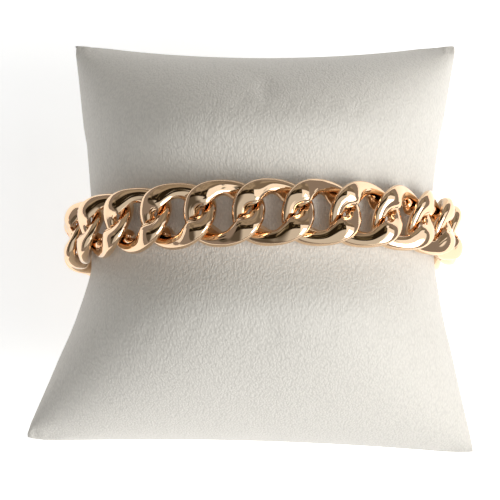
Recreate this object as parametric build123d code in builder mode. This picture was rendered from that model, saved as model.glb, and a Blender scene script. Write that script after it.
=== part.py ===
from build123d import *
from math import cos, sin, radians, copysign
import os

# A curb link bracelet closed round a stuffed display cushion that lies on its back.
# X runs along the front of the bracelet, Y up its band, Z out of the front face of the cushion.
# Everything is worked out about the middle of the bracelet's loop and then set down so that
# the origin is at the middle of the bottom of the whole object.

# Link sizes, millimetres
wire_width = 2.7        # strand of a link, seen from the front
wire_height = 2.1       # the same strand, front to back
link_length = 13.8      # along the chain, outside
band_width = 11.3       # across the chain, outside
end_play = 0.3          # between the ends of two links that hang in a third
strand_gap = 0.3        # half the height between two strands where they cross
link_squareness = 2.2   # 2 is an oval link, more is squarer
edge_bow = 0.05         # how far an edge of the strand's section bows out, as a share of its length

# Chain sizes
link_count = 25         # pitches round the whole loop, the clasp takes the place of two
loop_flatness = 0.875   # height of the loop as a share of its width
first_link_offset = 1.6 # how far the front link's middle lies to the right of the loop's middle
clasp_pitches = 2
front_share = 0.25      # the loop is measured from its right end, so its front is a quarter of the way

# Clasp sizes
clasp_inset = 0.3       # the box is this much lower than the links on all four sides
clasp_corner = 0.8      # radius of its edges
clasp_end_gap = 0.45    # between the box and the link that hangs in its end ring

# Cushion sizes
cushion_length = 76.0   # along the band's width, from corner to corner
cushion_shift = -0.4    # how far the cushion's middle lies above the band's middle
corner_pull = 6.5       # how far the corners stand out past the pinched waist
front_swell = 3.3       # how far the front swells past the leather under the band
back_press = 7.0        # how much of the back is pressed flat by what it lies on
top_bow = 2.8           # how far the top seam sinks between its corners
bottom_bow = 1.0        # how far the bottom seam rises between its corners
seat_gap = 0.15         # between the links and the leather under them
band_gap = 0.2          # between the sides of the band and the swell of the cushion
swell_run = 13.0        # over which the cushion swells from the band to its full height
floor_gap = 0.3         # between the links at the back and the surface the cushion lies on
cushion_columns = 20    # of facets, from side seam to side seam

# Worked out
pitch = link_length - 2 * wire_width - end_play
half_length = (link_length - wire_width) / 2
half_band = (band_width - wire_width) / 2
strand_rise = wire_height / 2 + strand_gap
link_depth = strand_rise + wire_height / 2
clasp_width = band_width - 2 * clasp_inset
clasp_thickness = 2 * (link_depth - clasp_inset)
clasp_reach = pitch - link_length / 2 - clasp_end_gap

# Section of a strand as it climbs from the end of the link (0 degrees) to the middle of its side (90).
# Lengths are shares of the strand's half width and half height. The broad outer face runs from
# face_out, at the height top_out, in to the crest. The polished bevel runs from there down to
# bevel_in, at the height top_in, and a wall from there to the lip, which leans over the next link.
# low_in, low_crest and low_out are the corners of the under side, low the height of the outer two.
section_columns = ("angle", "face_out", "top_out", "crest", "bevel_in", "top_in",
                   "lip", "lip_height", "low_in", "low_crest", "low_out", "low")
section_rows = [
    (0, 0.60, 0.80, 0.00, -0.60, 0.80, -1.00, 0.00, -0.60, 0.00, 0.60, -0.80),
    (8, 0.64, 0.80, -0.06, -0.70, 0.74, -1.14, 0.44, -0.61, 0.00, 0.60, -0.80),
    (18, 0.68, 0.80, -0.26, -0.96, 0.72, -1.42, 0.56, -0.64, 0.00, 0.62, -0.80),
    (34, 0.76, 0.80, -0.72, -1.34, 0.70, -1.66, 0.54, -0.68, 0.00, 0.66, -0.77),
    (54, 0.80, 0.80, -1.00, -1.64, 0.64, -1.74, 0.48, -0.70, 0.00, 0.70, -0.74),
    (73, 0.80, 0.80, -0.78, -1.38, 0.62, -1.46, 0.44, -0.70, 0.00, 0.72, -0.76),
    (90, 0.74, 0.80, -0.12, -0.74, 0.80, -0.98, 0.00, -0.74, -0.12, 0.74, -0.80),
]

# Corners of the cushion as shares of its half width and half length, from its own middle:
# it is sewn a little out of square.
corner_columns = ("name", "across", "along")
corner_rows = [
    ("top_left", -0.907, 1.016),
    ("top_right", 0.971, 0.985),
    ("bottom_left", -1.162, -0.958),
    ("bottom_right", 0.962, -1.044),
]

# Rows of facets from the side of the band to the seam at the top or bottom, as shares of that run
row_shares = (0, 0.05, 0.11, 0.19, 0.31, 0.45, 0.59, 0.72, 0.83, 0.92, 0.98, 1)

# How round the cushion is: two powers for its fullness each way, and one for its pinched sides
round_across = (2.4, 0.62)
round_along = (2.3, 0.60)
pinch_power = 1.15


def between(low, high, share):
    """The value that lies this share of the way from low to high."""
    return low + (high - low) * share


def ring_point(angle):
    """A point of the link's centre line; the strand is high before and low after each end."""
    c = cos(radians(angle))
    s = sin(radians(angle))
    power = 2 / link_squareness
    x = half_length * copysign(abs(c) ** power, c)
    y = half_band * copysign(abs(s) ** power, s)
    z = -strand_rise * sin(radians(2 * angle))
    return Vector(x, y, z)


def section_corners(row, high):
    """The seven corners of one section, out from the ring and up, turned over for a low strand."""
    r = dict(zip(section_columns, row))
    points = [
        (r["face_out"], r["top_out"]),
        (r["crest"], 1),
        (r["bevel_in"], r["top_in"]),
        (r["lip"], r["lip_height"]),
        (r["low_in"], r["low"]),
        (r["low_crest"], -1),
        (r["low_out"], r["low"]),
    ]
    if not high:
        points = [(out, -up) for out, up in reversed(points)]
    return [Vector(out * wire_width / 2, up * wire_height / 2) for out, up in points]


def bowed(start, end):
    """The middle of a section's edge, a little outside the straight line."""
    edge = end - start
    return (start + end) / 2 + Vector(edge.Y, -edge.X) * edge_bow


def ring_plane(angle):
    """An upright plane square to the ring, X pointing out of the ring and Y up."""
    step = 0.01
    ahead = ring_point(angle + step) - ring_point(angle - step)
    outward = Vector(ahead.Y, -ahead.X, 0).normalized()
    return Plane(origin=ring_point(angle), x_dir=outward, z_dir=outward.cross(Vector(0, 0, 1)))


# One quarter of the ring has the rows in order, the next has them in reverse and turned over
low_quarter = [(row[0], row, False) for row in section_rows]
high_quarter = [(180 - row[0], row, True) for row in reversed(section_rows[:-1])]

# Half a ring, from the right end over the top to the left end
with BuildPart() as half_ring:
    for angle, row, high in low_quarter + high_quarter:
        with BuildSketch(ring_plane(angle)):
            with BuildLine():
                points = section_corners(row, high)
                for start, end in zip(points, points[1:]):
                    ThreePointArc(start, bowed(start, end), end)
                ThreePointArc(points[-1], (wire_width / 2, 0), points[0])
            make_face()
    loft()

# A whole link is two equal halves, half a turn apart
with BuildPart() as ring:
    with PolarLocations(0, 2):
        add(half_ring.part)


# The loop: an ellipse whose length is a whole number of pitches
with BuildLine() as unit_loop:
    EllipticalCenterArc((0, 0), 1, loop_flatness, 0, arc_size=360)
half_loop_width = link_count * pitch / unit_loop.edge().length
half_loop_height = half_loop_width * loop_flatness
with BuildLine(Plane.XZ) as loop:
    EllipticalCenterArc((0, 0), half_loop_width, half_loop_height, 0, arc_size=360)


def chain_plane(number):
    """Where link 0, 1, 2... sits, clockwise from the front: X along the chain, Z outward."""
    run = first_link_offset + number * pitch
    share = (front_share - run / loop.edge().length) % 1
    along = -1 * (loop.edge() % share)
    return Plane(origin=loop.edge() @ share, x_dir=along, z_dir=along.cross(Vector(0, 1, 0)))


# The cushion's waist, drawn in by the links, and its corners in the bracelet's own plane
waist_half_width = half_loop_width - link_depth - seat_gap
waist_half_height = half_loop_height - link_depth - seat_gap
cushion_half_width = waist_half_width + corner_pull
corners = {}
for row in corner_rows:
    corner = dict(zip(corner_columns, row))
    x = corner["across"] * cushion_half_width
    y = corner["along"] * cushion_length / 2 + cushion_shift
    corners[corner["name"]] = Vector(x, y)

# The whole object's box, which sets the origin
left = min(corner.X for corner in corners.values())
right = max(corner.X for corner in corners.values())
near = min(corner.Y for corner in corners.values())
far = max(corner.Y for corner in corners.values())
floor = half_loop_height + link_depth + floor_gap
to_origin = Vector(-(left + right) / 2, -(near + far) / 2, floor)


def write_piece(piece, name):
    """Names a finished piece and writes its STEP file."""
    piece.part.label = name
    export_step(piece.part, f"parts/{name}.step")


os.makedirs("parts", exist_ok=True)

# Links: the clasp takes the places at the back
clasp_first = link_count // 2
clasp_last = clasp_first + clasp_pitches - 1
# numbered from one side of the clasp round the front to the other
places = list(range(clasp_last + 1, link_count)) + list(range(clasp_first))
for number, place in enumerate(places, start=1):
    with BuildPart() as link:
        with Locations(Location(to_origin) * chain_plane(place).location):
            add(ring.part)
    write_piece(link, f"link_{number:02d}")

# Clasp: two half rings and the box between them
entry = chain_plane(clasp_first)
leaving = chain_plane(clasp_last)
middle = (entry.origin + leaving.origin) / 2
clasp_axis = (leaving.origin - entry.origin).normalized()
clasp_length = (leaving.origin - entry.origin).length + 2 * clasp_reach
with BuildPart() as end_ring:
    add(ring.part)
    split(bisect_by=Plane.YZ, keep=Keep.BOTTOM)
with BuildPart() as clasp:
    box_plane = Plane(origin=to_origin + middle, x_dir=clasp_axis, z_dir=clasp_axis.cross(Vector(0, 1, 0)))
    with BuildSketch(box_plane):
        Rectangle(clasp_length, clasp_width)
    extrude(amount=clasp_thickness / 2, both=True)
    fillet(clasp.edges().filter_by(GeomType.LINE), clasp_corner)
    with Locations(Location(to_origin) * entry.location):
        add(end_ring.part)
    with Locations(Location(to_origin) * leaving.location):
        add(end_ring.part, rotation=(0, 0, 180))
write_piece(clasp, "clasp")

# Cushion: a rounded pillow drawn in to the loop at its waist, of small flat facets
band_edge = band_width / 2 + band_gap
cushion_front = waist_half_height + front_swell
cushion_back = floor + back_press


def seam_x(y, side):
    """Where the side seam runs: from the corners in to the waist. side is "left" or "right"."""
    corner = corners["top_" + side] if y >= 0 else corners["bottom_" + side]
    waist = copysign(waist_half_width, corner.X)
    share = max(abs(y) - band_edge, 0) / (abs(corner.Y) - band_edge)
    return between(waist, corner.X, min(share, 1) ** pinch_power)


def swell(share, power):
    """Fullness of a rounded pillow, 1 in the middle and 0 at its seam."""
    return (1 - abs(share) ** power[0]) ** power[1] if abs(share) < 1 else 0


def cushion_point(across, end, share, side):
    """A point of the skin. across runs from -1 to 1 between the side seams, share from 0 at the
    band to 1 at the seam of that end (1 top, -1 bottom); side is 1 in front and -1 behind."""
    half = (across + 1) / 2
    if end > 0:
        seam = between(corners["top_left"].Y, corners["top_right"].Y, half)
        seam -= top_bow * (1 - across**2)
    else:
        seam = between(corners["bottom_left"].Y, corners["bottom_right"].Y, half)
        seam += bottom_bow * (1 - across**2)
    y = between(end * band_edge, seam, share)
    x = between(seam_x(y, "left"), seam_x(y, "right"), half)
    fullness = cushion_front if side > 0 else cushion_back
    pillow = fullness * swell(across, round_across) * swell(share, round_along)
    waist = waist_half_height * (1 - across**2) ** 0.5
    clear = min((abs(y) - band_edge) / swell_run, 1)
    clear = clear * clear * (3 - 2 * clear)
    return Vector(x, y, side * between(waist, pillow, clear)) + to_origin


def facets(side):
    """The flat three-sided faces of one side of the skin, facing out."""
    columns = [sin(radians(90 * (2 * i / cushion_columns - 1))) for i in range(cushion_columns + 1)]
    rows = [(-1, share) for share in reversed(row_shares)] + [(1, share) for share in row_shares]
    grid = [[cushion_point(u, end, share, side) for u in columns] for end, share in rows]
    for j in range(len(rows) - 1):
        for i in range(cushion_columns):
            cell = [grid[j][i], grid[j][i + 1], grid[j + 1][i + 1], grid[j + 1][i]]
            # the cut across each cell points at the nearest corner of the cushion
            if (columns[i] + columns[i + 1]) * rows[j][0] < 0:
                cell = cell[1:] + cell[:1]
            yield Face(Wire.make_polygon([cell[0], cell[1], cell[2]][::side]))
            yield Face(Wire.make_polygon([cell[0], cell[2], cell[3]][::side]))


skin = list(facets(1)) + list(facets(-1))
with BuildPart() as cushion:
    add(Solid(Shell(skin)))
    split(bisect_by=Plane.XY, keep=Keep.TOP)
write_piece(cushion, "cushion")
print("length of the loop", link_count * pitch, "across", 2 * half_loop_width, 2 * half_loop_height)
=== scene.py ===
import math

import bmesh
import bpy
import numpy as np
from mathutils import Matrix, Vector


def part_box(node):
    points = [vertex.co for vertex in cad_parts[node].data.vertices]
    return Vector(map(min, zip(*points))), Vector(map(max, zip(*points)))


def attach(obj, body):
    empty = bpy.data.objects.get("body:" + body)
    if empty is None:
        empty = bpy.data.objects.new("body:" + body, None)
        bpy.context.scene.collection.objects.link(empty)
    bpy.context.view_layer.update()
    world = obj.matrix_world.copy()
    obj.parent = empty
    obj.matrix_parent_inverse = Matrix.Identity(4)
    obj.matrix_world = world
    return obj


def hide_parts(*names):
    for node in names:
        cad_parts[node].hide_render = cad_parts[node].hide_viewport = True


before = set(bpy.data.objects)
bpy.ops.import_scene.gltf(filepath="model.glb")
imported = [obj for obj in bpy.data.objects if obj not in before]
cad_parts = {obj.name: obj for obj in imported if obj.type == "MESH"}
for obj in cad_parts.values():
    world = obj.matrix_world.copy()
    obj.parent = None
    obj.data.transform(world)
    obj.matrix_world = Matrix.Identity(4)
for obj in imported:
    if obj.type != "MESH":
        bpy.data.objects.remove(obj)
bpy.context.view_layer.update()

bl_info = {
    "name": "Curb link bracelet on its display cushion",
    "version": (1, 0, 0),
    "blender": (4, 5, 0),
    "location": "3D View > Sidebar > Bracelet",
    "description": "Dresses the curb link bracelet, its clasp and the leather cushion in it",
    "category": "Object",
}

MM = 0.001
BODY = "root"
LINK_NODES = sorted(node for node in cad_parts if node.startswith("link_"))
FRONT_LINK = "link_12"


def linear(hex_code):
    """An sRGB colour such as "D8A47F" as the linear values that a material takes."""
    parts = [int(hex_code[i:i + 2], 16) / 255 for i in (0, 2, 4)]
    return tuple(p / 12.92 if p <= 0.04045 else ((p + 0.055) / 1.055) ** 2.4 for p in parts)


def length(name, description, millimetres):
    """A length that a user may change, given in millimetres and kept in metres."""
    return bpy.props.FloatProperty(
        name=name, description=description, default=millimetres * MM, precision=5, unit="LENGTH")


def colour(name, description, hex_code):
    """A colour that a user may change."""
    return bpy.props.FloatVectorProperty(
        name=name, description=description, default=linear(hex_code), size=3, min=0, max=1,
        subtype="COLOR")


class LinkSettings(bpy.types.PropertyGroup):
    wire_width: length("Wire width", "A link's strand, seen from the front", 2.7)
    wire_height: length("Wire height", "The same strand, front to back", 2.1)
    link_length: length("Link length", "Along the chain, outside", 13.8)
    band_width: length("Band width", "Across the chain, outside", 11.3)
    end_play: length("End play", "Between the ends of two links that hang in a third", 0.3)
    strand_gap: length("Strand gap", "Half the height between two strands where they cross", 0.3)
    squareness: bpy.props.FloatProperty(
        name="Squareness", description="2 is an oval link, more is squarer", default=2.2)
    edge_bow: bpy.props.FloatProperty(
        name="Edge bow", default=0.05,
        description="How far an edge of the section bows out, as a share of its length")
    face_bow: bpy.props.FloatProperty(
        name="Face bow", default=0.10,
        description="The same for the outer face and its bevel, which buffing rounds more")
    places: bpy.props.IntProperty(
        name="Places", description="Pitches round the whole loop", default=25)
    flatness: bpy.props.FloatProperty(
        name="Loop flatness", default=0.875,
        description="Height of the loop as a share of its width")
    front_offset: length(
        "Front offset", "How far the front link lies to the right of the middle", 1.6)
    gold: colour("Gold", "Polished 14 carat rose gold", "F6D4B0")


class ClaspSettings(bpy.types.PropertyGroup):
    inset: length("Inset", "How much lower than the links the box is, all round", 0.3)
    corner: length("Corner", "Radius of the box's edges", 0.8)
    end_gap: length("End gap", "Between the box and the link that hangs in its end ring", 0.45)
    groove: length("Groove", "Depth of the line where the tongue meets the box", 0.16)


class CushionSettings(bpy.types.PropertyGroup):
    length: length("Length", "From corner to corner, before the padding fills it out", 75.0)
    shift: length("Shift", "How far the cushion's middle lies above the band's middle", -0.4)
    corner_pull: length("Corner pull", "How far the corners stand out past the waist", 6.5)
    front_swell: length(
        "Front swell", "How far the front stands out past the leather under the band", 3.3)
    back_press: length("Back press", "How much of the back is pressed flat by what it lies on", 7.0)
    top_bow: length(
        "Top bow", "How far the top seam sinks between its corners, before filling", 3.5)
    bottom_bow: length("Bottom bow", "How far the bottom seam rises between its corners", 1.0)
    seat_gap: length("Seat gap", "Between the links and the leather under them", 0.15)
    band_gap: length("Band gap", "Between the sides of the band and the swell of the cushion", 0.2)
    swell_run: length(
        "Swell run", "Over which the cushion swells from the band to its full height", 13.0)
    seam_depth: length("Seam depth", "How deep the seam is drawn in between the two covers", 0.9)
    stitch: length("Stitch", "Length of the hidden stitches that pucker the seam", 2.6)
    sag_cap: length("Cap", "The furthest that the padding may push the skin out", 1.2)
    leather: colour("Leather", "White leatherette", "EAE6DE")


class StageSettings(bpy.types.PropertyGroup):
    floor: colour("Floor", "White acrylic of a light table", "F8F8F8")
    glow: bpy.props.FloatProperty(
        name="Glow", description="Light that comes up through the table", default=0.62)
    window: bpy.props.FloatProperty(
        name="Window", description="Power of the soft lamp on the right", default=3.0, unit="POWER")
    distance: length("Camera distance", "From the middle of the bracelet", 250.0)
    tilt: bpy.props.FloatProperty(
        name="Tilt", description="Of the camera from the cushion's upright",
        default=math.radians(7.8), subtype="ANGLE")
    roll: bpy.props.FloatProperty(
        name="Roll", description="Of the camera about its own line of sight",
        default=math.radians(0.89), subtype="ANGLE")
    lens: bpy.props.FloatProperty(
        name="Focal length", description="For a sensor 36 mm wide", default=96.3)
    off_right: length("Off centre, right", "Of the bracelet's middle from the picture's", 2.32)
    off_up: length("Off centre, up", "Of the bracelet's middle from the picture's", 2.16)


def add_node(tree, kind, settings=None, **sockets):
    """Adds a node. settings are its own values; each socket takes a value or another node's output.

    Spaces in a socket's name are written as underscores. A number after two underscores picks one
    of several sockets of that name, from 0."""
    node = tree.nodes.new(kind)
    for key, value in (settings or {}).items():
        setattr(node, key, value)
    for key, value in sockets.items():
        name, _, number = key.partition("__")
        name = name.replace("_", " ").lower()
        socket = [s for s in node.inputs if s.name.lower() == name and s.enabled][int(number or 0)]
        if isinstance(value, bpy.types.NodeSocket):
            tree.links.new(value, socket)
        else:
            socket.default_value = value
    return node


def new_material(name):
    """An empty node material."""
    material = bpy.data.materials.new(name)
    material.use_nodes = True
    material.node_tree.nodes.clear()
    return material, material.node_tree


def new_object(name, vertices, faces, material=None, smooth=True):
    """A mesh object at the origin, from places in metres."""
    mesh = bpy.data.meshes.new(name)
    mesh.from_pydata([tuple(v) for v in vertices], [], [tuple(int(i) for i in f) for f in faces])
    mesh.polygons.foreach_set("use_smooth", [smooth] * len(mesh.polygons))
    if material:
        mesh.materials.append(material)
    mesh.validate()
    obj = bpy.data.objects.new(name, mesh)
    bpy.context.scene.collection.objects.link(obj)
    return obj


def tube_faces(rings, around, closed):
    """Faces along rings of places, and from the last ring to the first where closed."""
    faces = []
    for i in range(rings if closed else rings - 1):
        j = (i + 1) % rings
        for k in range(around):
            m = (k + 1) % around
            faces.append((i * around + k, i * around + m, j * around + m, j * around + k))
    return faces


def ease(share):
    """From 0 to 1 with a soft start and end."""
    share = np.clip(share, 0, 1)
    return share * share * (3 - 2 * share)


# Links

# Section of a strand as it climbs from the end of a link (0 degrees) to the middle of its side
# (90). Lengths are shares of the strand's half width and half height. The broad outer face runs
# from face_out, at the height top_out, in to the crest. The polished bevel runs from there down to
# bevel_in, at the height top_in, and a wall from there to the lip, which leans over the next link.
# low_in, low_crest and low_out are the corners of the under side, low the height of the outer two.
SECTION_COLUMNS = ("angle", "face_out", "top_out", "crest", "bevel_in", "top_in",
                   "lip", "lip_height", "low_in", "low_crest", "low_out", "low")
SECTION_ROWS = (
    (0, 0.60, 0.80, 0.00, -0.60, 0.80, -1.00, 0.00, -0.60, 0.00, 0.60, -0.80),
    (8, 0.64, 0.80, -0.06, -0.70, 0.74, -1.14, 0.44, -0.61, 0.00, 0.60, -0.80),
    (18, 0.68, 0.80, -0.26, -0.96, 0.72, -1.42, 0.56, -0.64, 0.00, 0.62, -0.80),
    (34, 0.76, 0.80, -0.72, -1.34, 0.70, -1.66, 0.54, -0.68, 0.00, 0.66, -0.77),
    (54, 0.80, 0.80, -1.00, -1.64, 0.64, -1.74, 0.48, -0.70, 0.00, 0.70, -0.74),
    (73, 0.80, 0.80, -0.78, -1.38, 0.62, -1.46, 0.44, -0.70, 0.00, 0.72, -0.76),
    (90, 0.74, 0.80, -0.12, -0.74, 0.80, -0.98, 0.00, -0.74, -0.12, 0.74, -0.80),
)
# Places along each edge of a section, close beside its corners, which are crisp but not sharp
EDGE_SHARES = (0.035, 0.14, 0.37, 0.63, 0.86, 0.965)
SECTIONS_ROUND_LINK = 96
LOOP_SAMPLES = 4001
CURVE_POINTS = 1440


def section_corners(row, high):
    """The seven corners of one section, out from the ring and up, turned over for a low strand."""
    r = dict(zip(SECTION_COLUMNS, row))
    points = np.array([
        (r["face_out"], r["top_out"]),
        (r["crest"], 1),
        (r["bevel_in"], r["top_in"]),
        (r["lip"], r["lip_height"]),
        (r["low_in"], r["low"]),
        (r["low_crest"], -1),
        (r["low_out"], r["low"]),
    ])
    return points if high else points[::-1] * (1, -1)


def smooth_rows(angles):
    """Section corners at any angles round the link, on smooth curves through the table's rows."""
    known, rows = [], []
    for half in (0, 180):
        for row in SECTION_ROWS:
            known.append(half + row[0])
            rows.append(section_corners(row, False))
        for row in SECTION_ROWS[-2:0:-1]:
            known.append(half + 180 - row[0])
            rows.append(section_corners(row, True))
    known = np.array([known[-1] - 360] + known + [360, 360 + known[1]], float)
    rows = np.array([rows[-1]] + rows + [rows[0], rows[1]])
    slope = np.zeros_like(rows)
    span = (known[2:] - known[:-2])[:, None, None]
    slope[1:-1] = (rows[2:] - rows[:-2]) / span
    out = []
    for angle in angles:
        i = int(np.searchsorted(known, angle, side="right")) - 1
        step = known[i + 1] - known[i]
        t = (angle - known[i]) / step
        out.append(rows[i] * (1 + 2 * t) * (1 - t) ** 2 + slope[i] * step * t * (1 - t) ** 2
                   + rows[i + 1] * t * t * (3 - 2 * t) + slope[i + 1] * step * t * t * (t - 1))
    return np.array(out)


def arc(start, through, end):
    """Places along the arc through three points of a plane, at the edge's shares."""
    a, b = start - end, through - end
    double_area = 2 * (a[0] * b[1] - a[1] * b[0])
    middle = np.array([b[1] * (a @ a) - a[1] * (b @ b), a[0] * (b @ b) - b[0] * (a @ a)])
    middle /= double_area
    first, last = (math.atan2(*(p - middle)[::-1]) for p in (a, np.zeros(2)))
    way = 1 if double_area > 0 else -1
    angles = first + way * ((way * (last - first)) % (2 * math.pi)) * np.array(EDGE_SHARES)
    return end + middle + math.hypot(*middle) * np.stack([np.cos(angles), np.sin(angles)], 1)


def section(corners, bows, outer):
    """Places round one section: its edges bow out a little, and the last one is the outer side."""
    edges = []
    for start, end, bow in zip(corners, corners[1:], bows):
        across = end - start
        edges.append(arc(start, (start + end) / 2 + np.array((across[1], -across[0])) * bow, end))
    edges.append(arc(corners[-1], np.array((outer, 0)), corners[0]))
    return np.concatenate(edges)


def link_mesh(size):
    """Places and faces of one link about its own middle: X along the chain, Z out of it."""
    half_length = (size.link_length - size.wire_width) / 2
    half_band = (size.band_width - size.wire_width) / 2
    rise = size.wire_height / 2 + size.strand_gap
    angles = np.arange(SECTIONS_ROUND_LINK) * 360 / SECTIONS_ROUND_LINK

    def centre(degrees):
        c, s = np.cos(np.radians(degrees)), np.sin(np.radians(degrees))
        power = 2 / size.squareness
        return np.stack([half_length * np.sign(c) * np.abs(c) ** power,
                         half_band * np.sign(s) * np.abs(s) ** power,
                         -rise * np.sin(np.radians(2 * degrees))], 1)

    step = 0.01  # degrees, to find which way the strand runs
    ahead = centre(angles + step) - centre(angles - step)
    outward = np.stack([ahead[:, 1], -ahead[:, 0], 0 * angles], 1)
    outward /= np.linalg.norm(outward, axis=1)[:, None]
    places = []
    bows = [size.face_bow] * 2 + [size.edge_bow] * 4
    for middle, out, corners in zip(centre(angles), outward, smooth_rows(angles)):
        corners = corners * (size.wire_width / 2, size.wire_height / 2)
        ring = section(corners, bows, size.wire_width / 2)
        places.append(middle + ring[:, :1] * out + ring[:, 1:] * np.array((0, 0, 1)))
    return np.concatenate(places), tube_faces(SECTIONS_ROUND_LINK, len(places[0]), closed=True)


class Loop:
    """The closed chain's middle line: an ellipse that stands on its edge, whole pitches long."""

    def __init__(self, size):
        self.pitch = size.link_length - 2 * size.wire_width - size.end_play
        self.total = size.places * self.pitch
        turn = np.linspace(0, 2 * math.pi, LOOP_SAMPLES)
        unit = np.stack([np.sin(turn), size.flatness * np.cos(turn)], 1)
        run = np.concatenate([[0], np.cumsum(np.linalg.norm(np.diff(unit, axis=0), axis=1))])
        self.half_width = self.total / run[-1]
        self.half_height = self.half_width * size.flatness
        self.turn, self.run = turn, run * self.half_width
        front = self.place(size.front_offset)[0]
        low, high = (Vector(corner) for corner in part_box(FRONT_LINK))
        self.middle = (low + high) / 2 - front

    def place(self, run):
        """Where the chain is this far round from the front, its direction, and the way out."""
        turn = float(np.interp(run % self.total, self.run, self.turn))
        sine, cosine = math.sin(turn), math.cos(turn)
        point = Vector((self.half_width * sine, 0, self.half_height * cosine))
        along = Vector((self.half_width * cosine, 0, -self.half_height * sine)).normalized()
        return point, along, along.cross(Vector((0, 1, 0)))


def gold_material(base):
    """Polished 14 carat rose gold: a warm mirror that wavers a little, with faint hairlines."""
    material, tree = new_material("polished_rose_gold")
    place = add_node(tree, "ShaderNodeTexCoord").outputs["Object"]
    # soft waves some 3 mm long that buffing leaves on the broad faces
    waves = add_node(tree, "ShaderNodeTexNoise", Vector=place, Scale=1 / (3.0 * MM), Detail=1.0)
    # hairlines, really some microns wide, drawn 0.15 mm wide so that they show as a faint haze
    hairlines = add_node(tree, "ShaderNodeTexNoise", Vector=place, Scale=1 / (0.15 * MM),
                         Detail=2.0).outputs["Fac"]
    wave_bump = add_node(tree, "ShaderNodeBump", Height=waves.outputs["Fac"], Strength=0.05,
                         Distance=0.12 * MM)
    fine_bump = add_node(tree, "ShaderNodeBump", Height=hairlines, Strength=0.04,
                         Distance=0.01 * MM, Normal=wave_bump.outputs["Normal"])
    haze = add_node(tree, "ShaderNodeMapRange", Value=hairlines, From_Min=0.35, From_Max=0.75,
                    To_Min=0.03, To_Max=0.08)
    shader = add_node(tree, "ShaderNodeBsdfPrincipled", Base_Color=(*base, 1), Metallic=1.0,
                      Roughness=haze.outputs["Result"], Normal=fine_bump.outputs["Normal"])
    add_node(tree, "ShaderNodeOutputMaterial", Surface=shader.outputs["BSDF"])
    return material


def chain_tree():
    """Geometry Nodes: the link that comes in is set at each place of the loop but the clasp's."""
    tree = bpy.data.node_groups.new("chain_of_links", "GeometryNodeTree")
    face = tree.interface
    face.new_socket("Geometry", in_out="INPUT", socket_type="NodeSocketGeometry")
    inputs = {}
    for name, kind in (("Loop width", "NodeSocketFloat"), ("Loop height", "NodeSocketFloat"),
                       ("Loop middle", "NodeSocketVector"), ("Pitch", "NodeSocketFloat"),
                       ("Front offset", "NodeSocketFloat"), ("First place", "NodeSocketInt"),
                       ("Links", "NodeSocketInt"), ("Gold", "NodeSocketMaterial")):
        inputs[name] = face.new_socket(name, in_out="INPUT", socket_type=kind)
    face.new_socket("Geometry", in_out="OUTPUT", socket_type="NodeSocketGeometry")
    given = add_node(tree, "NodeGroupInput").outputs
    circle = add_node(tree, "GeometryNodeCurvePrimitiveCircle", Resolution=CURVE_POINTS, Radius=1.0)
    oval = add_node(tree, "ShaderNodeCombineXYZ", X=given["Loop width"], Y=given["Loop height"],
                    Z=2.0)
    half_oval = add_node(tree, "ShaderNodeVectorMath", {"operation": "SCALE"},
                         Vector=oval.outputs["Vector"], Scale=0.5)
    flat = add_node(tree, "GeometryNodeTransform", Geometry=circle.outputs["Curve"],
                    Scale=half_oval.outputs["Vector"])
    loop = add_node(tree, "GeometryNodeTransform", Geometry=flat.outputs["Geometry"],
                    Translation=given["Loop middle"], Rotation=(math.pi / 2, 0, 0))
    loop = loop.outputs["Geometry"]
    whole = add_node(tree, "GeometryNodeCurveLength", Curve=loop).outputs["Length"]
    # Run of each link back from the front, a quarter of the way round the curve: step by step, an
    # operation with what came before and one more value
    run = add_node(tree, "GeometryNodeInputIndex").outputs["Index"]
    for operation, value in (("ADD", given["First place"]), ("MULTIPLY", given["Pitch"]),
                             ("ADD", given["Front offset"]), ("MULTIPLY", -1.0)):
        run = add_node(tree, "ShaderNodeMath", {"operation": operation}, Value__0=run,
                       Value__1=value).outputs[0]
    run = add_node(tree, "ShaderNodeMath", {"operation": "MULTIPLY_ADD"}, Value__0=whole,
                   Value__1=0.25, Value__2=run).outputs[0]
    run = add_node(tree, "ShaderNodeMath", {"operation": "FLOORED_MODULO"}, Value__0=run,
                   Value__1=whole).outputs[0]
    sample = add_node(tree, "GeometryNodeSampleCurve", {"mode": "LENGTH"}, Curves=loop, Length=run)
    along = add_node(tree, "ShaderNodeVectorMath", {"operation": "SCALE"},
                     Vector=sample.outputs["Tangent"], Scale=-1.0)
    points = add_node(tree, "GeometryNodePoints", Count=given["Links"],
                      Position=sample.outputs["Position"])
    turned = add_node(tree, "FunctionNodeAxesToRotation",
                      {"primary_axis": "X", "secondary_axis": "Y"},
                      Primary_Axis=along.outputs["Vector"], Secondary_Axis=(0, 1, 0))
    links = add_node(tree, "GeometryNodeInstanceOnPoints", Points=points.outputs[0],
                     Instance=given["Geometry"], Rotation=turned.outputs["Rotation"])
    real = add_node(tree, "GeometryNodeRealizeInstances", Geometry=links.outputs["Instances"])
    dressed = add_node(tree, "GeometryNodeSetMaterial", Geometry=real.outputs["Geometry"],
                       Material=given["Gold"])
    add_node(tree, "NodeGroupOutput", Geometry=dressed.outputs["Geometry"])
    return tree, inputs


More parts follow.
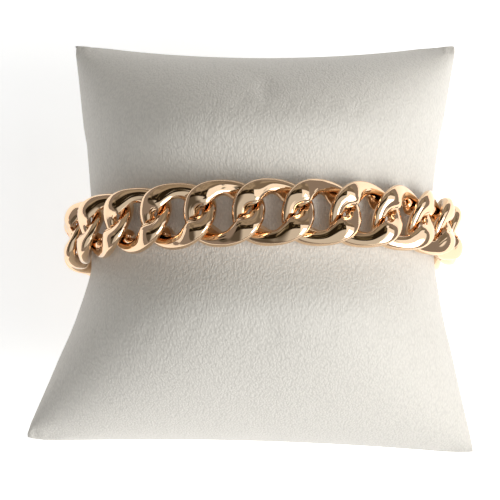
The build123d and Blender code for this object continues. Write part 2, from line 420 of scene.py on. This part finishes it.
class BRACELET_OT_links(bpy.types.Operator):
    """Makes the links by setting one link at each place of the closed loop"""
    bl_idname = "bracelet.links"
    bl_label = "Links"

    def execute(self, context):
        size = context.scene.bracelet_links
        loop = Loop(size)
        gold = gold_material(size.gold)
        unit = new_object("unit_link", *link_mesh(size), gold)
        tree, inputs = chain_tree()
        modifier = unit.modifiers.new("chain", "NODES")
        modifier.node_group = tree
        values = {
            "Loop width": 2 * loop.half_width, "Loop height": 2 * loop.half_height,
            "Loop middle": tuple(loop.middle), "Pitch": loop.pitch,
            "Front offset": size.front_offset, "First place": -(len(LINK_NODES) // 2),
            "Links": len(LINK_NODES), "Gold": gold,
        }
        for name, value in values.items():
            modifier[inputs[name].identifier] = value
        made = unit.evaluated_get(context.evaluated_depsgraph_get())
        mesh = bpy.data.meshes.new_from_object(made)
        unit.modifiers.remove(modifier)
        bpy.data.objects.remove(unit)
        mesh.name = "links"
        links = bpy.data.objects.new("links", mesh)
        context.scene.collection.objects.link(links)
        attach(links, BODY)
        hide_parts(*LINK_NODES)
        return {"FINISHED"}


# Clasp

# Stations along the box as shares of its length, with how far each is drawn in, as shares of the
# groove's depth. The groove is the line where the tongue's plate meets the box.
GROOVE_STATIONS = ((0.235, 0.0), (0.245, 0.35), (0.250, 1.0), (0.255, 0.35), (0.265, 0.0))
CORNER_STEPS = 6
# Least radius of an outline that is drawn in, as a share of the box's corner
LEAST_CORNER = 0.08


def rounded_outline(half_width, half_height, radius):
    """A rectangle with round corners, anticlockwise."""
    points = []
    for corner, (sx, sy) in enumerate(((1, 1), (-1, 1), (-1, -1), (1, -1))):
        for step in range(CORNER_STEPS + 1):
            angle = math.pi / 2 * (corner + step / CORNER_STEPS)
            points.append((sx * (half_width - radius) + radius * math.cos(angle),
                           sy * (half_height - radius) + radius * math.sin(angle)))
    return points


def box_mesh(long, wide, thick, corner, groove):
    """The clasp's box along X with round edges and one fine groove round it."""
    stations = []
    for step in range(CORNER_STEPS + 1):
        angle = math.pi / 2 * step / CORNER_STEPS
        stations.append((corner * (1 - math.cos(angle)), corner * (1 - math.sin(angle))))
    rounding = stations[::-1]
    stations += [(share * long, depth * groove) for share, depth in GROOVE_STATIONS]
    stations += [(long - x, inset) for x, inset in rounding]
    places = []
    for x, inset in stations:
        # the outline shrinks evenly at the ends and in the groove
        outline = rounded_outline(wide / 2 - inset, thick / 2 - inset,
                                  max(corner - inset, corner * LEAST_CORNER))
        places += [(x - long / 2, y, z) for y, z in outline]
    around = len(outline)
    faces = tube_faces(len(stations), around, closed=False)
    faces.append(tuple(range(around))[::-1])
    faces.append(tuple(range(len(places) - around, len(places))))
    return places, faces


def add_turned(mesh, places, faces, origin, along, outward):
    """Adds places and faces to a bmesh, set down with their X along and Z outward."""
    turn = Matrix((along, outward.cross(along), outward)).transposed()
    made = [mesh.verts.new(origin + turn @ Vector(p)) for p in places]
    for face in faces:
        mesh.faces.new([made[i] for i in face])
    return made


class BRACELET_OT_clasp(bpy.types.Operator):
    """Makes the plain box clasp with its two end rings, at the back of the loop"""
    bl_idname = "bracelet.clasp"
    bl_label = "Clasp"

    def execute(self, context):
        size, form = context.scene.bracelet_links, context.scene.bracelet_clasp
        loop = Loop(size)
        first = size.places // 2
        ends = [loop.place(size.front_offset + n * loop.pitch) for n in (first, first + 1)]
        ends = [(point + loop.middle, along, out) for point, along, out in ends]
        axis = ends[1][0] - ends[0][0]
        reach = loop.pitch - size.link_length / 2 - form.end_gap
        depth = size.wire_height + size.strand_gap
        body = bmesh.new()
        box = box_mesh(axis.length + 2 * reach, size.band_width - 2 * form.inset,
                       2 * (depth - form.inset), form.corner, form.groove)
        axis.normalize()
        add_turned(body, *box, (ends[0][0] + ends[1][0]) / 2, axis, axis.cross(Vector((0, 1, 0))))
        places, faces = link_mesh(size)
        for (origin, along, out), side in zip(ends, (-1, 1)):
            half = bmesh.new()
            add_turned(half, places, faces, Vector(), Vector((1, 0, 0)), Vector((0, 0, 1)))
            cut = bmesh.ops.bisect_plane(
                half, geom=half.verts[:] + half.edges[:] + half.faces[:], plane_co=(0, 0, 0),
                plane_no=(-side, 0, 0), clear_outer=True)
            rim = [e for e in cut["geom_cut"] if isinstance(e, bmesh.types.BMEdge)]
            bmesh.ops.holes_fill(half, edges=rim)
            half.verts.index_update()
            add_turned(body, [v.co.copy() for v in half.verts],
                       [[v.index for v in f.verts] for f in half.faces], origin, along, out)
            half.free()
        for face in body.faces:
            face.smooth = len(face.verts) == 4
        mesh = bpy.data.meshes.new("clasp_box")
        body.to_mesh(mesh)
        body.free()
        mesh.materials.append(bpy.data.materials["polished_rose_gold"])
        clasp = bpy.data.objects.new("clasp_box", mesh)
        context.scene.collection.objects.link(clasp)
        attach(clasp, BODY)
        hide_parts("clasp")
        return {"FINISHED"}


# Cushion

# Corners as shares of the half width and half length from the cushion's own middle, and how round
# each one is, as a share of the cushion's length. It is sewn a little out of square.
CORNERS = {
    ("left", 1): (-0.907, 1.016, 0.011),
    ("right", 1): (0.971, 0.985, 0.010),
    ("left", -1): (-1.145, -0.958, 0.014),
    ("right", -1): (0.985, -1.056, 0.004),
}
# How round the cushion is: two powers for its fullness each way, and one for its pinched sides
ROUND_ACROSS = (2.4, 0.62)
ROUND_ALONG = (2.3, 0.60)
PINCH_POWER = 1.15
COLUMNS = 84
ROWS_PER_END = 40
ROWS_UNDER_BAND = 10
# The padding is worked out as cloth, over these frames, at ten times the real size, where the
# solver's stiffness suits a leather skin
SOLVER_SCALE = 10
SOLVER_FRAMES = 20
# Beside the band the skin is held, then it comes free over a run. Above the seat it does so too.
HELD_BESIDE_BAND = 1.0 * MM
FREEING_RUN = 18 * MM
SEAT_RUN = 3 * MM
# The seam reaches its full depth over this run from the band
SEAM_RUN = 6 * MM
# Half the share of its depth by which the seam comes back out between two stitches
PUCKER = 0.35
# Share of the subdivision that the groove's edge withstands, so that it stays crisp
SEAM_CREASE = 0.7


def swell(share, power):
    """Fullness of a rounded pillow, 1 in the middle and 0 at its seam."""
    return np.clip(1 - np.abs(share) ** power[0], 0, 1) ** power[1]


class Pillow:
    """The cushion's own form, worked out from the loop that pinches it."""

    def __init__(self, size, links):
        self.size = size
        self.loop = Loop(links)
        depth = links.wire_height + links.strand_gap
        self.waist = self.loop.half_width - depth - size.seat_gap
        self.waist_height = self.loop.half_height - depth - size.seat_gap
        self.band_edge = links.band_width / 2 + size.band_gap
        self.front = self.waist_height + size.front_swell
        self.back = self.loop.middle.z + size.back_press
        half_width = self.waist + size.corner_pull
        self.corner = {}
        for key, (across, along, _) in CORNERS.items():
            self.corner[key] = (across * half_width, along * size.length / 2 + size.shift)

    def side_x(self, y, name, end):
        """Where a side seam runs at height y, from its corner in to the waist."""
        x, corner_y = self.corner[(name, end)]
        waist = math.copysign(self.waist, x)
        share = np.clip((np.abs(y) - self.band_edge) / (abs(corner_y) - self.band_edge), 0, 1)
        return waist + (x - waist) * share ** PINCH_POWER

    def skin(self, across, end, share, side):
        """Places of the skin. across runs from -1 to 1 between the side seams; share from 0 at the
        band to 1 at the seam of that end (1 top, -1 bottom), and below 0 under the band."""
        half = (across + 1) / 2
        left, right = (self.corner[(name, end)][1] for name in ("left", "right"))
        bow = -self.size.top_bow if end > 0 else self.size.bottom_bow
        seam = left + (right - left) * half + bow * (1 - across**2)
        y = end * self.band_edge + (seam - end * self.band_edge) * np.maximum(share, 0)
        y = np.where(share < 0, end * self.band_edge * (1 + share), y)
        x_left, x_right = (self.side_x(y, name, end) for name in ("left", "right"))
        x = x_left + (x_right - x_left) * half
        fullness = self.front if side > 0 else self.back
        pillow = fullness * swell(across, ROUND_ACROSS) * swell(np.maximum(share, 0), ROUND_ALONG)
        waist = self.waist_height * np.sqrt(np.clip(1 - across**2, 0, 1))
        clear = ease((np.abs(y) - self.band_edge) / self.size.swell_run)
        x, y = self.round_corner(x, y, seam, x_left, x_right, across, end)
        return np.stack([x, y, side * (waist + (pillow - waist) * clear)], -1)

    def round_corner(self, x, y, seam, x_left, x_right, across, end):
        """Draws the skin near each corner in from a square to a quarter of a disc."""
        for name, edge, way in (("left", x_left, -1), ("right", x_right, 1)):
            radius = CORNERS[(name, end)][2] * self.size.length
            from_side = np.clip(radius - np.abs(edge - x), 0, radius)
            from_end = np.clip(radius - np.abs(seam - y), 0, radius)
            reach = np.hypot(from_side, from_end)
            keep = np.maximum(from_side, from_end) / np.maximum(reach, 1e-12)
            near = (from_side > 0) & (from_end > 0) & (np.sign(across) == way)
            x = np.where(near, x - way * from_side * (1 - keep), x)
            y = np.where(near, y - end * from_end * (1 - keep), y)
        return x, y


def cushion_grid(pillow):
    """Front and back skins on one grid of places, joined along their seam.

    Returns the places about the loop's middle, the faces, and the front skin's grid of place
    numbers, whose border is the seam."""
    across = np.sin(math.pi / 2 * np.linspace(-1, 1, COLUMNS + 1))
    outer = np.sin(math.pi / 2 * np.linspace(0, 1, ROWS_PER_END + 1))
    under = np.linspace(-1, 0, ROWS_UNDER_BAND // 2 + 1)[:-1]
    shares = np.concatenate([under, outer])
    rows = [(-1, s) for s in shares[::-1]] + [(1, s) for s in shares[1:]]
    sides = []
    for side in (1, -1):
        skins = [pillow.skin(across, end, np.full_like(across, s), side) for end, s in rows]
        sides.append(np.array(skins))
    height, width = sides[0].shape[:2]
    index = np.arange(height * width).reshape(height, width)
    seam = np.zeros((height, width), bool)
    seam[0], seam[-1], seam[:, 0], seam[:, -1] = True, True, True, True
    back_index = np.where(seam, index, 0)
    back_index[~seam] = height * width + np.arange((~seam).sum())
    places = np.concatenate([sides[0].reshape(-1, 3), sides[1][~seam]])
    faces = []
    for j in range(height - 1):
        for i in range(width - 1):
            corners = ((j, i), (j, i + 1), (j + 1, i + 1), (j + 1, i))
            faces.append([index[corner] for corner in corners])
            # the other way about, starting from the same corner, to face outwards
            faces.append([back_index[corner] for corner in (corners[0], *corners[:0:-1])])
    return places, faces, index


def draw_in_seam(places, index, band_edge, size):
    """Draws the seam in between the two covers as a groove, puckered by its hidden stitches.

    Returns the numbers of the places along the seam."""
    border = np.concatenate([index[0], index[1:, -1], index[-1, -2::-1], index[-2:0:-1, 0]])
    points = places[border]
    step = np.linalg.norm(np.roll(points, -1, 0) - points, axis=1)
    run = np.cumsum(step) - step
    depth = size.seam_depth * (1 - PUCKER + PUCKER * np.cos(2 * math.pi * run / size.stitch))
    # none beside the band, where the links hold the seam flat
    depth *= np.clip((np.abs(points[:, 1]) - band_edge) / SEAM_RUN, 0, 1)
    ahead = np.roll(points, -1, 0) - np.roll(points, 1, 0)
    inward = np.stack([-ahead[:, 1], ahead[:, 0]], 1)
    inward /= np.maximum(np.linalg.norm(inward, axis=1), 1e-9)[:, None]
    places[border, :2] += inward * depth[:, None]
    return border


def mark_seam(mesh, border):
    """Keeps the seam's groove crisp, and marks it for the leather's shade."""
    along_seam = set(border.tolist())
    crease = mesh.attributes.new("crease_edge", "FLOAT", "EDGE")
    for edge in mesh.edges:
        crease.data[edge.index].value = SEAM_CREASE * along_seam.issuperset(edge.vertices)
    mark = mesh.attributes.new("seam", "FLOAT", "POINT")
    for number in border:
        mark.data[int(number)].value = 1.0


def fill_out(places, faces, hold, cap):
    """Lets the padding press the skin out as cloth, no vertex by more than cap.

    hold is 1 where the skin can't move and 0 where it is free."""
    swollen = new_object("cushion_solver", places * SOLVER_SCALE, faces)
    group = swollen.vertex_groups.new(name="held")
    weights = np.round(hold, 2)
    for weight in np.unique(weights):
        group.add(np.flatnonzero(weights == weight).tolist(), float(weight), "REPLACE")
    cloth = swollen.modifiers.new("Cloth", "CLOTH")
    settings = cloth.settings
    settings.quality = 6
    settings.mass = 0.4
    settings.tension_stiffness = settings.compression_stiffness = 25
    settings.shear_stiffness = 10
    settings.bending_stiffness = 2.0
    settings.use_pressure = True
    settings.uniform_pressure_force = 3
    settings.shrink_min = -0.008
    settings.vertex_group_mass = group.name
    settings.effector_weights.gravity = 0
    cloth.collision_settings.use_collision = False
    scene = bpy.context.scene
    for number in range(1, SOLVER_FRAMES + 1):
        scene.frame_set(number)
    shape = swollen.evaluated_get(bpy.context.evaluated_depsgraph_get()).data
    moved = np.empty(3 * len(shape.vertices), np.float32)
    shape.vertices.foreach_get("co", moved)
    scene.frame_set(1)
    bpy.data.objects.remove(swollen)
    shift = moved.reshape(-1, 3) / SOLVER_SCALE - places
    far = np.linalg.norm(shift, axis=1)[:, None]
    return places + shift * np.minimum(1, cap / np.maximum(far, 1e-9)) * (1 - hold[:, None])


def leather_material(base):
    """White leatherette: a soft satin skin, embossed with creases drawn out along the cushion."""
    material, tree = new_material("white_leatherette")
    place = add_node(tree, "ShaderNodeTexCoord").outputs["Object"]
    # creases 0.36 mm apart and nearly twice as long, that wander by up to 0.8 mm
    long_place = add_node(tree, "ShaderNodeMapping", Vector=place, Scale=(1.0, 0.6, 1.0))
    long_place = long_place.outputs["Vector"]
    drift = add_node(tree, "ShaderNodeTexNoise", Vector=long_place, Scale=1 / (1.6 * MM),
                     Detail=2.0)
    bent = add_node(tree, "ShaderNodeVectorMath", {"operation": "MULTIPLY_ADD"},
                    Vector__0=drift.outputs["Color"], Vector__1=(0.8 * MM, 0.8 * MM, 0.8 * MM),
                    Vector__2=long_place)
    cells = add_node(tree, "ShaderNodeTexVoronoi", {"feature": "SMOOTH_F1"},
                     Vector=bent.outputs["Vector"], Scale=1 / (0.36 * MM), Smoothness=0.45)
    cells = cells.outputs["Distance"]
    # soft unevenness of the padding, some 6 mm across
    broad = add_node(tree, "ShaderNodeTexNoise", Vector=place, Scale=1 / (6.0 * MM), Detail=3.0)
    relief = add_node(tree, "ShaderNodeBump", {"invert": True}, Height=cells, Strength=0.75,
                      Distance=0.12 * MM)
    uneven = add_node(tree, "ShaderNodeBump", Height=broad.outputs["Fac"], Strength=0.18,
                      Distance=0.25 * MM, Normal=relief.outputs["Normal"])
    # the creases hold a little more shade than the tops, and the seam's groove a good deal more
    crease = add_node(tree, "ShaderNodeMapRange", Value=cells, From_Min=0.1, From_Max=0.9,
                      To_Min=1.0, To_Max=0.86)
    seam = add_node(tree, "ShaderNodeAttribute", {"attribute_name": "seam"})
    groove = add_node(tree, "ShaderNodeMapRange", Value=seam.outputs["Fac"], From_Min=0.3,
                      From_Max=1.0, To_Min=1.0, To_Max=0.5)
    shade = add_node(tree, "ShaderNodeMath", {"operation": "MULTIPLY"},
                     Value__0=crease.outputs["Result"], Value__1=groove.outputs["Result"])
    tone = add_node(tree, "ShaderNodeMix", {"data_type": "RGBA", "blend_type": "MULTIPLY"},
                    Factor=1.0, A=(*base, 1), B=shade.outputs[0])
    shader = add_node(tree, "ShaderNodeBsdfPrincipled", Base_Color=tone.outputs[2], Roughness=0.55,
                      IOR=1.46, Normal=uneven.outputs["Normal"])
    add_node(tree, "ShaderNodeOutputMaterial", Surface=shader.outputs["BSDF"])
    return material


class CUSHION_OT_make(bpy.types.Operator):
    """Makes the stuffed cushion, drawn in at its waist by the bracelet"""
    bl_idname = "cushion.make"
    bl_label = "Cushion"

    def execute(self, context):
        size = context.scene.bracelet_cushion
        pillow = Pillow(size, context.scene.bracelet_links)
        places, faces, index = cushion_grid(pillow)
        floor = -pillow.loop.middle.z
        flat = places[:, 2] < floor
        places[flat, 2] = floor
        from_band = np.abs(places[:, 1]) - pillow.band_edge
        hold = 1 - ease((from_band - HELD_BESIDE_BAND) / FREEING_RUN)
        hold = np.maximum(hold, np.clip((floor + SEAT_RUN - places[:, 2]) / SEAT_RUN, 0, 1))
        places = fill_out(places, faces, hold, size.sag_cap)
        places[:, 2] = np.maximum(places[:, 2], floor)
        seam = draw_in_seam(places, index, pillow.band_edge, size)
        cushion = new_object("leather_cushion", places + np.array(pillow.loop.middle), faces,
                             leather_material(size.leather))
        mark_seam(cushion.data, seam)
        finer = cushion.modifiers.new("finer", "SUBSURF")
        finer.levels = finer.render_levels = 1
        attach(cushion, BODY)
        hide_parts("cushion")
        return {"FINISHED"}


# Stage

FLOOR_REACH = 3.0
# The lamp stands to the right of the object and below it in the picture, as far up as to the right
WINDOW_PLACE = Vector((0.50, -0.28, 0.50))
WINDOW_SIZE = (0.45, 0.35)
WINDOW_TINT = (1.0, 0.975, 0.94)
ROOM_STRENGTH = 1.15


def area_light(name, place, aim, size, power, tint):
    """A soft rectangular lamp that faces a point."""
    lamp = bpy.data.lights.new(name, "AREA")
    lamp.shape = "RECTANGLE"
    lamp.size, lamp.size_y = size
    lamp.energy = power
    lamp.color = tint
    obj = bpy.data.objects.new(name, lamp)
    obj.location = place
    obj.rotation_euler = (Vector(aim) - Vector(place)).to_track_quat("-Z", "Y").to_euler()
    bpy.context.scene.collection.objects.link(obj)


class STAGE_OT_make(bpy.types.Operator):
    """Makes the pale floor, the soft light and the camera"""
    bl_idname = "stage.make"
    bl_label = "Stage"

    def execute(self, context):
        scene = context.scene
        size = scene.bracelet_stage
        middle = Loop(scene.bracelet_links).middle
        # a light table: white acrylic, lit a little from below, so that it comes out plain white
        material, tree = new_material("lit_white_acrylic")
        shader = add_node(tree, "ShaderNodeBsdfPrincipled", Base_Color=(*size.floor, 1),
                          Roughness=0.8, Emission_Color=(*size.floor, 1),
                          Emission_Strength=size.glow)
        add_node(tree, "ShaderNodeOutputMaterial", Surface=shader.outputs["BSDF"])
        corners = [(FLOOR_REACH * x, FLOOR_REACH * y, 0)
                   for x, y in ((-1, -1), (1, -1), (1, 1), (-1, 1))]
        floor = new_object("floor", corners, [(0, 1, 2, 3)], material, smooth=False)
        self.world(scene)
        area_light("window", middle + WINDOW_PLACE, middle, WINDOW_SIZE, size.window, WINDOW_TINT)
        self.camera(scene, size, middle)
        return {"FINISHED"}

    def world(self, scene):
        """The room that the gold mirrors: pale on the viewer's side, a window on the right, a dark
        band overhead where the viewer stands, and grey walls behind and on the left."""
        world = bpy.data.worlds.new("studio")
        world.use_nodes = True
        tree = world.node_tree
        tree.nodes.clear()
        way = add_node(tree, "ShaderNodeTexCoord").outputs["Generated"]
        x, y, z = add_node(tree, "ShaderNodeSeparateXYZ", Vector=way).outputs
        # how far a direction leans from straight up, towards the cushion's top and to the right
        leans = []
        for side in (y, x):
            lean = add_node(tree, "ShaderNodeMath", {"operation": "ARCTAN2"}, Value__0=side,
                            Value__1=z)
            leans.append(lean.outputs[0])
        lean_up, lean_right = leans
        # soft blotches, for what stands about in a room
        clutter = add_node(tree, "ShaderNodeTexNoise", Vector=way, Scale=3.2, Detail=1.0)
        clutter = clutter.outputs["Fac"]
        left = (lean_right, math.radians(-20), math.radians(-45))
        overhead = (lean_up, math.radians(-3), math.radians(1))
        behind = (lean_up, math.radians(25), math.radians(28))
        right = (lean_right, math.radians(22), math.radians(25))
        this_side = (lean_up, math.radians(27), math.radians(24))
        low = (z, 0.44, 0.34)
        # Tones that are laid in turn over the pale viewer's side. Each lies where its values are
        # past their second numbers, and fades out to the first.
        layers = (
            ("55524C", (left,)),
            ("241E14", (overhead,)),
            ("5A5545", (overhead, (clutter, 0.53, 0.58))),
            ("736E66", (behind,)),
            ("9C978C", (behind, (clutter, 0.40, 0.62))),
            ("F8FCFF", (right, this_side)),
            ("858180", (low,)),
        )
        room = (*linear("C4C9CC"), 1)
        for tone, limits in layers:
            share = 1.0
            for value, start, end in limits:
                inside = add_node(tree, "ShaderNodeMapRange", {"interpolation_type": "SMOOTHSTEP"},
                                  Value=value, From_Min=start, From_Max=end)
                share = add_node(tree, "ShaderNodeMath", {"operation": "MULTIPLY"}, Value__0=share,
                                 Value__1=inside.outputs["Result"]).outputs[0]
            room = add_node(tree, "ShaderNodeMix", {"data_type": "RGBA"}, Factor=share, A=room,
                            B=(*linear(tone), 1)).outputs[2]
        sky = add_node(tree, "ShaderNodeBackground", Color=room, Strength=ROOM_STRENGTH)
        add_node(tree, "ShaderNodeOutputWorld", Surface=sky.outputs["Background"])
        scene.world = world

    def camera(self, scene, size, middle):
        """Looks down on the cushion from the photograph's side."""
        off_centre = Vector((size.off_right, size.off_up, 0))
        eye = Vector((0, -size.distance * math.sin(size.tilt), size.distance * math.cos(size.tilt)))
        forward = -eye.normalized()
        right = Matrix.Rotation(size.roll, 3, forward) @ Vector((1, 0, 0))
        up = right.cross(forward)
        data = bpy.data.cameras.new("camera")
        data.sensor_width = 36
        data.lens = size.lens
        data.clip_start = 0.01
        camera = bpy.data.objects.new("camera", data)
        pose = Matrix((right, up, -forward)).transposed().to_4x4()
        pose.translation = middle + eye - off_centre
        camera.matrix_world = pose
        scene.collection.objects.link(camera)
        scene.camera = camera
        scene.view_settings.view_transform = "Standard"


class BRACELET_PT_panel(bpy.types.Panel):
    bl_label = "Bracelet"
    bl_idname = "BRACELET_PT_panel"
    bl_space_type = "VIEW_3D"
    bl_region_type = "UI"
    bl_category = "Bracelet"

    def draw(self, context):
        for operator, settings in STEPS:
            self.layout.operator(operator)
            group = getattr(context.scene, settings)
            for name in group.bl_rna.properties.keys():
                if name not in ("rna_type", "name"):
                    self.layout.prop(group, name)


# Each operator, in order, and the settings that go with it
STEPS = (
    ("bracelet.links", "bracelet_links"),
    ("bracelet.clasp", "bracelet_clasp"),
    ("cushion.make", "bracelet_cushion"),
    ("stage.make", "bracelet_stage"),
)
SETTINGS = {"bracelet_links": LinkSettings, "bracelet_clasp": ClaspSettings,
            "bracelet_cushion": CushionSettings, "bracelet_stage": StageSettings}
CLASSES = (LinkSettings, ClaspSettings, CushionSettings, StageSettings, BRACELET_OT_links,
           BRACELET_OT_clasp, CUSHION_OT_make, STAGE_OT_make, BRACELET_PT_panel)


def register():
    for cls in CLASSES:
        bpy.utils.register_class(cls)
    for name, group in SETTINGS.items():
        setattr(bpy.types.Scene, name, bpy.props.PointerProperty(type=group))


def unregister():
    for name in SETTINGS:
        delattr(bpy.types.Scene, name)
    for cls in reversed(CLASSES):
        bpy.utils.unregister_class(cls)


def main():
    register()
    bpy.ops.bracelet.links()
    bpy.ops.bracelet.clasp()
    bpy.ops.cushion.make()
    bpy.ops.stage.make()


if __name__ == "__main__":
    main()
